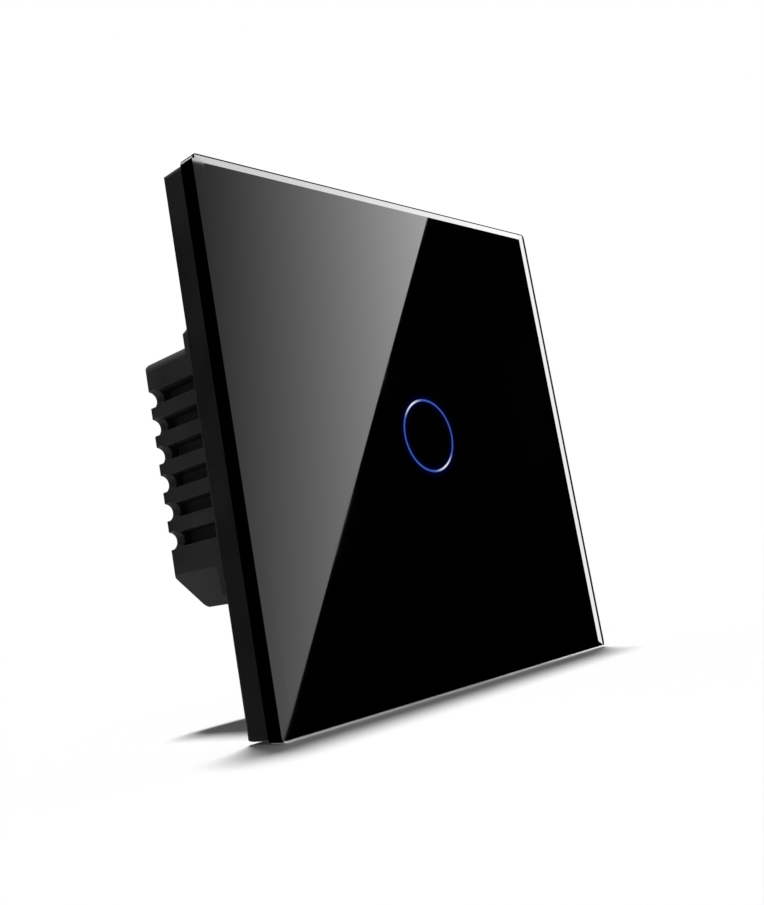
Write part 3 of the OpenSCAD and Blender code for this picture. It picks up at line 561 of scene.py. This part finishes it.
def amber_film(slot):
    """Insulating film with faint fibres."""
    g = Finish(slot)
    fibre = g.noise(FIBRE_SIZE, FINE, FIBRE_ALONG)
    return g.made(Base_Color=g.mix(fibre, *AMBER),
                  Roughness=g.spread(fibre, *AMBER_ROUGH),
                  Normal=g.bump(fibre, FIBRE_DEPTH))


# Winding wire, painted darker between its turns as painted shade
COPPER = ((0.30, 0.10, 0.035), (0.72, 0.33, 0.14))
COPPER_ROUGH = (0.22, 0.38)
COPPER_CLOUD = 1.5 * MM
WIRE_PITCH = 0.22 * MM
WIRE_DEPTH = 0.08 * MM


def wound_copper(slot):
    """Enamelled wire in even turns along the coil, painted darker between the turns as painted shade."""
    g = Finish(slot)
    turn = g.bands(WIRE_PITCH, "Y")
    # Darker between the turns: painted shade
    return g.made(Base_Color=g.mix(turn, *COPPER),
                  Metallic=1.0,
                  Roughness=g.spread(g.noise(COPPER_CLOUD), *COPPER_ROUGH),
                  Normal=g.bump(turn, WIRE_DEPTH))


# Contacts
ALLOY = ((0.52, 0.27, 0.13), (0.72, 0.42, 0.22))
ALLOY_ROUGH = (0.24, 0.42)
ALLOY_BRUSH = 0.7 * MM
ALLOY_ALONG = (1.0, 1.0, 10.0)
SILVER = (0.80, 0.79, 0.76)
SILVER_HALF = 1.05 * MM
SILVER_DEEP = 0.6 * MM


def tipped_contact(slot):
    """Copper alloy strip with a silver contact at its free end."""
    g = Finish(slot)
    low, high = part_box("relay_fixed_contact")
    in_width = g.below(g.from_middle("X", low.x, high.x), SILVER_HALF)
    in_depth = g.above(g.axis("Y"), high.y - SILVER_DEEP)
    brush = g.noise(ALLOY_BRUSH, FINE, ALLOY_ALONG)
    return g.made(Base_Color=g.mix(g.both(in_width, in_depth), g.mix(brush, *ALLOY), SILVER),
                  Metallic=1.0,
                  Roughness=g.spread(brush, *ALLOY_ROUGH),
                  Normal=g.bump(brush, BRUSH_DEPTH))


# Filter capacitor
SLEEVE = ((0.035, 0.045, 0.065), (0.055, 0.070, 0.095))
SLEEVE_ROUGH = (0.25, 0.38)
SLEEVE_CLOUD = 1.5 * MM
CAN_BARE = (0.70, 0.71, 0.72)
CAN_END = 0.15 * MM


def sleeved_can(slot):
    """Aluminium can in a dark sleeve, bare at its end."""
    g = Finish(slot)
    bare = g.above(g.axis("Y"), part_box("filter_capacitor")[1].y - CAN_END)
    cloud = g.noise(SLEEVE_CLOUD)
    return g.made(Base_Color=g.mix(bare, g.mix(cloud, *SLEEVE), CAN_BARE),
                  Metallic=bare,
                  Roughness=g.spread(cloud, *SLEEVE_ROUGH))


# Fuse
CERAMIC = ((0.58, 0.48, 0.32), (0.70, 0.60, 0.42))
CERAMIC_ROUGH = (0.2, 0.34)
CERAMIC_SPECK = 0.3 * MM
CAP_PLATED = (0.72, 0.72, 0.70)
CAP_LENGTH = 2 * MM


def capped_fuse(slot):
    """Glazed ceramic tube with plated end caps."""
    g = Finish(slot)
    low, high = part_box("fuse")
    cap = g.above(g.from_middle("X", low.x, high.x), (high.x - low.x) / 2 - CAP_LENGTH)
    speck = g.noise(CERAMIC_SPECK)
    return g.made(Base_Color=g.mix(cap, g.mix(speck, *CERAMIC), CAP_PLATED),
                  Metallic=cap,
                  Roughness=g.spread(speck, *CERAMIC_ROUGH))


# What makes the material of each slot in the record: colour, roughness and grain as the real pieces have them
MATERIALS = {
    "glass": black_glass,
    "ring_light": lit_ring,
    "adhesive": partial(foam, colour=(0.03, 0.03, 0.03), pore=0.2 * MM),
    "frame_plastic": partial(moulded, colour=(0.0160, 0.0160, 0.0168), rough=0.46, specular=0.14),
    "housing_plastic": partial(moulded, colour=(0.0380, 0.0380, 0.0392), rough=0.52, specular=0.2,
                               grain=0.3 * MM),
    "plate_steel": galvanised,
    "screw_steel": partial(plated, colour=(0.70, 0.71, 0.73), rough=0.24),
    "clear_guide": milky_guide,
    "foam": partial(foam, colour=(0.09, 0.09, 0.10), pore=0.35 * MM),
    "led": lamp_resin,
    "board": solder_mask,
    "chip_resin": partial(moulded, colour=(0.03, 0.03, 0.033), rough=0.6, grain=0.12 * MM),
    "sheet_film": amber_film,
    "connector_plastic": partial(moulded, colour=(0.02, 0.02, 0.022), rough=0.45, grain=0.15 * MM),
    "pin_metal": partial(plated, colour=(0.80, 0.62, 0.28), rough=0.2, along=BRUSHED_DEEP),
    "relay_plastic": partial(moulded, colour=(0.030, 0.042, 0.075), rough=0.4),
    "magnet_iron": partial(plated, colour=(0.56, 0.56, 0.57), rough=0.32),
    "bobbin_plastic": partial(moulded, colour=(0.72, 0.68, 0.58), rough=0.48, specular=0.4),
    "copper": wound_copper,
    "contact_metal": tipped_contact,
    "film_resin": partial(resin, colour=(0.34, 0.055, 0.032)),
    "can_sleeve": sleeved_can,
    "varistor_resin": partial(resin, colour=(0.045, 0.13, 0.36)),
    "fuse_ceramic": capped_fuse,
    "ferrite": partial(moulded, colour=(0.045, 0.045, 0.048), rough=0.7, grain=0.2 * MM, depth=0.03 * MM),
    "busbar_metal": partial(plated, colour=(0.74, 0.48, 0.24), rough=0.3),
    "clamp_steel": partial(plated, colour=(0.68, 0.68, 0.67), rough=0.34),
    "terminal_steel": partial(plated, colour=(0.72, 0.62, 0.36), rough=0.26),
}


def dress_nodes():
    """Gives every solid the material of its slot in the record."""
    made = {row["slot"]: MATERIALS[row["slot"]](row["slot"]) for row in frame["record"]["materials"]}
    for row in frame["record"]["subparts"]:
        piece = frame["nodes"][row["node"]]
        if not piece.material_slots:
            piece.data.materials.append(None)
        for holder in piece.material_slots:
            holder.material = made[row["material_slot"]]


def posed(at, right, up, aim):
    """The matrix of a thing at a place that looks along aim, with its own right and up."""
    turn = Matrix((right, up, -aim)).transposed().to_4x4()
    return Matrix.Translation(at) @ turn


def face_along(piece, direction):
    """Turns a thing's own Z axis along a direction."""
    piece.rotation_mode = "QUATERNION"
    piece.rotation_quaternion = direction.to_track_quat("Z", "Y")


def flat(name, outline, material):
    """A flat piece of studio equipment, with its outline in its own X and Y."""
    mesh = bpy.data.meshes.new(name)
    mesh.from_pydata([(x, y, 0.0) for x, y in outline], [], [tuple(range(len(outline)))])
    mesh.materials.append(material)
    piece = bpy.data.objects.new(name, mesh)
    bpy.context.scene.collection.objects.link(piece)
    return piece


def rectangle(half_w, half_h):
    return [(-half_w, -half_h), (half_w, -half_h), (half_w, half_h), (-half_w, half_h)]


# Cards stand before the camera's mirror image in the glass. Their corners are its slopes to the right and up
CARD_DISTANCE = 0.6
FLAG_DISTANCE = 0.66
TOP_LEFT = (-0.226, 0.361)
TOP_SPLIT = (0.056, 0.272)
CORNER_IN = (-0.210, 0.267)
CORNER_OUT = (-0.42, 0.318)
GLARE_OUTLINE = ((-0.1145, -0.353), TOP_SPLIT, TOP_LEFT)
LEFT_OUTLINE = ((-0.42, -0.40), (-0.211, -0.40), (-0.141, -0.185), CORNER_IN, CORNER_OUT)
RIGHT_OUTLINE = ((0.275, -0.30), (0.55, -0.30), (0.55, 0.30), (0.151, 0.30))
TOP_OUTLINE = (CORNER_OUT, CORNER_IN, TOP_LEFT, TOP_SPLIT, (0.16, 0.24), (0.19, 0.70), (-0.42, 0.70))
FRONT_OUTLINE = ((-0.50, -0.95), (0.60, -0.95), (0.60, 0.40), (-0.50, 0.40))

# Light of the cards. The glare grows to the right, and the left facet sees it shifted
GLARE_BASE = 2.114
GLARE_SLOPE = 8.253
GLARE_POWER = 1.75
FACET_SHIFT = 0.08
RIGHT_STRIP = 8.8
TOP_STRIP = 10.5

# Black flags behind the object, for its left sides, rims and lower faces: place, half width and half height
FLAGS = (
    ("side_flag", (-0.40, 0.46, 0.02), 0.26, 0.43),
    ("rear_flag", (0.02, 0.58, 0.19), 0.26, 0.28),
    ("back_flag", (0.37, 0.33, 0.11), 0.25, 0.33),
    ("low_flag", (-0.06, 0.24, -0.32), 0.26, 0.16),
)

# Rays that cards and flags are hidden from, so that they show in reflections and nowhere else
CARD_HIDDEN_FROM = ("camera", "diffuse", "transmission", "shadow", "volume_scatter")


def mirrored(vector):
    return Vector((vector.x, -vector.y, vector.z))


MIRROR_AT = Vector((CAMERA_AT.x, 2 * GLASS_FRONT_Y - CAMERA_AT.y, CAMERA_AT.z))
MIRROR_AXES = [mirrored(axis) for axis in (CAMERA_RIGHT, CAMERA_UP, CAMERA_AIM)]


def show_in_gloss_only(piece):
    for ray in CARD_HIDDEN_FROM:
        setattr(piece, "visible_" + ray, False)


def card(name, corners, distance, material):
    """A flat card before the mirrored camera."""
    piece = flat(name, [(distance * right, distance * up) for right, up in corners], material)
    piece.matrix_world = posed(MIRROR_AT + MIRROR_AXES[2] * distance, *MIRROR_AXES)
    show_in_gloss_only(piece)


def flag(name, at, half_w, half_h, material):
    """A flat black card that faces the origin from its place."""
    piece = flat(name, rectangle(half_w, half_h), material)
    face_along(piece, at)
    piece.location = at
    show_in_gloss_only(piece)


def lamp_surface(g, strength):
    """The material of a surface that only gives white light, of a strength."""
    lamp = g.add("ShaderNodeEmission")
    g.feed(lamp.inputs["Strength"], strength)
    g.feed(g.surface, lamp.outputs[0])
    return g.material


def glow(name, strength):
    """A card's surface: even light of the given strength, or black at 0."""
    return lamp_surface(Finish(name), strength)


def graded_glow(name, base):
    """Light that grows from the card's left to its right edge."""
    g = Finish(name)
    ramp = g.math("ADD", g.math("MULTIPLY", g.axis("X"), GLARE_SLOPE / CARD_DISTANCE), base)
    return lamp_surface(g, g.math("POWER", g.math("MAXIMUM", ramp, 0.0), GLARE_POWER))


def add_cards():
    """Lights what the glass and its four facets reflect, and flags off the rest."""
    black = glow("flag_black", 0.0)
    left_base = GLARE_BASE + GLARE_SLOPE * FACET_SHIFT
    card("glare_card", GLARE_OUTLINE, CARD_DISTANCE, graded_glow("glare", GLARE_BASE))
    card("left_glare_card", LEFT_OUTLINE, CARD_DISTANCE, graded_glow("left_glare", left_base))
    card("front_flag", FRONT_OUTLINE, FLAG_DISTANCE, black)
    card("right_strip_card", RIGHT_OUTLINE, CARD_DISTANCE, glow("right_strip", RIGHT_STRIP))
    card("top_strip_card", TOP_OUTLINE, CARD_DISTANCE, glow("top_strip", TOP_STRIP))
    for name, at, half_w, half_h in FLAGS:
        flag(name, Vector(at), half_w, half_h, black)


# The floor: its white for the camera, in two close levels, and the grey that lights the object from below
FLOOR_HALF = 4.0
FLOOR_GAP = 0.05 * MM
FLOOR_WHITE = ((0.945, 0.945, 0.945), (0.950, 0.950, 0.950))
FLOOR_BOUNCE = (0.45, 0.45, 0.45)
FLOOR_CLOUD = 60 * MM
FLOOR_ROUGH = 0.9


def floor_paint():
    """Pale matt paint, clear when it is seen from below."""
    g = Finish("floor_paint")
    seen = g.add("ShaderNodeLightPath").outputs["Is Camera Ray"]
    white = g.mix(g.noise(FLOOR_CLOUD), *FLOOR_WHITE)
    under = g.add("ShaderNodeMixShader")
    g.feed(under.inputs[0], g.geometry("Backfacing"))
    g.feed(under.inputs[1], g.shader.outputs[0])
    g.feed(under.inputs[2], g.add("ShaderNodeBsdfTransparent").outputs[0])
    g.feed(g.surface, under.outputs[0])
    return g.made(Base_Color=g.mix(seen, FLOOR_BOUNCE, white), Roughness=FLOOR_ROUGH, Specular_IOR_Level=0.0)


def add_floor():
    """A plain pale floor that merges with the white round it and keeps the shadow."""
    floor = flat("floor", rectangle(FLOOR_HALF, FLOOR_HALF), floor_paint())
    floor.location.z = FLOOR_Z - FLOOR_GAP
    floor.visible_glossy = False


# The white world is at full strength for these rays, and dimmer for soft light
WORLD_WHITE = (1.0, 1.0, 1.0)
WORLD_SHOWN_TO = ("Is Camera Ray", "Is Glossy Ray", "Is Transmission Ray")
WORLD_SHOWN = 1.0
WORLD_LIGHT = 0.11
SUN_FROM = Vector((0.120, 0.106, 1.0))
SUN_STRENGTH = 3.02
SUN_SPREAD = math.radians(8)


def add_light():
    """A white world, dimmer for soft light than where it shows, and one broad lamp."""
    scene = bpy.context.scene
    scene.world = bpy.data.worlds.new("studio")
    g = Graph(scene.world)
    rays = g.add("ShaderNodeLightPath").outputs
    shown = g.either(*(rays[name] for name in WORLD_SHOWN_TO))
    background = g.tree.nodes["Background"]
    g.feed(background.inputs["Color"], WORLD_WHITE)
    g.feed(background.inputs["Strength"], g.spread(shown, WORLD_LIGHT, WORLD_SHOWN))
    lamp = bpy.data.lights.new("key_lamp", "SUN")
    lamp.energy = SUN_STRENGTH
    lamp.angle = SUN_SPREAD
    holder = bpy.data.objects.new("key_lamp", lamp)
    face_along(holder, SUN_FROM)
    scene.collection.objects.link(holder)


def add_camera():
    """The photograph's camera. Its sensor spans the height, the longer side of the picture."""
    data = bpy.data.cameras.new("camera")
    data.sensor_width = SENSOR_MM
    data.lens = FOCAL_PX * SENSOR_MM / IMAGE_H
    data.clip_start, data.clip_end = CAMERA_CLIP
    camera = bpy.data.objects.new("camera", data)
    camera.matrix_world = posed(CAMERA_AT, CAMERA_RIGHT, CAMERA_UP, CAMERA_AIM)
    bpy.context.scene.collection.objects.link(camera)
    bpy.context.scene.camera = camera


add_camera()
add_floor()
add_light()
add_cards()
dress_nodes()
bpy.context.scene.view_settings.view_transform = "Standard"
